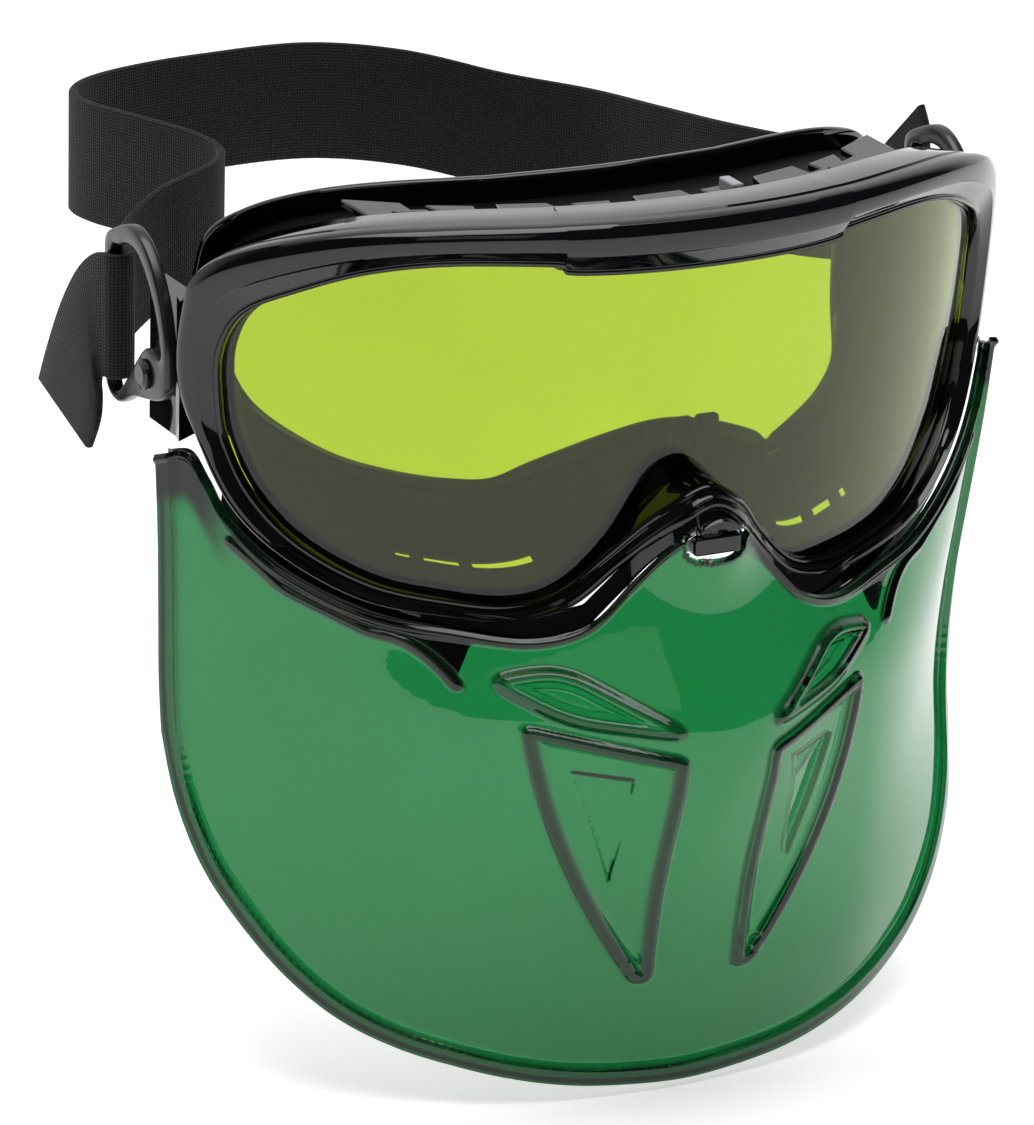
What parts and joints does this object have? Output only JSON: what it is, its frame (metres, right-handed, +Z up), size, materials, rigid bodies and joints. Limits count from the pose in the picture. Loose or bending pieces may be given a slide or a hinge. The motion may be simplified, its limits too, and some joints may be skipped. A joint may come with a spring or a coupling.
{
  "type": "welding goggles",
  "caption": "Wrap-around welding goggles with a shaded lens, a soft eyecup, a clip-on chin shield and an elastic headband on swivelling clips.",
  "frame": {"origin": "where the goggles meet the wearer's face, on the middle line at eye height", "axes": "+Z up, -Y the way the lens looks, +Y towards the wearer's head, +X the wearer's left"},
  "size_m": [0.1872, 0.183, 0.1775],
  "materials": {
    "gloss_black": "polished black thermoplastic",
    "soft_black": "satin black soft elastomer",
    "clip_black": "satin black moulded nylon",
    "lens_green": "shaded yellow-green polycarbonate, polished",
    "shield_green": "deep green transparent polycarbonate, polished",
    "webbing": "black knitted elastic",
    "pale_clip": "pale grey moulded plastic"
  },
  "bodies": {
    "goggles": {"front_frame": "gloss_black", "lens": "lens_green", "lens_gasket": "soft_black", "goggle_body": "soft_black", "face_flange": "soft_black", "top_vent_cover": "gloss_black", "lower_vent_cover_right": "soft_black", "lower_vent_cover_left": "soft_black", "nose_flaps": "soft_black", "shield_latch": "gloss_black", "brow_catch": "pale_clip", "side_lug_right": "gloss_black", "side_lug_left": "gloss_black", "pivot_peg_right": "gloss_black", "pivot_peg_left": "gloss_black"},
    "headband": {"strap": "webbing", "strap_clip_right": "clip_black", "strap_clip_left": "clip_black"},
    "shield": {"face_shield": "shield_green"}
  },
  "joints": [
    {"name": "headband_swing", "type": "hinge", "parent": "goggles", "child": "headband", "pos_m": [0, 0.0177, -0.0016], "axis": [1, 0, 0], "range_deg": [-25, 7]},
    {"name": "shield_pull_off", "type": "slide", "parent": "goggles", "child": "shield", "axis": [0, -1, 0], "range_m": [0, 0.06]}
  ]
}
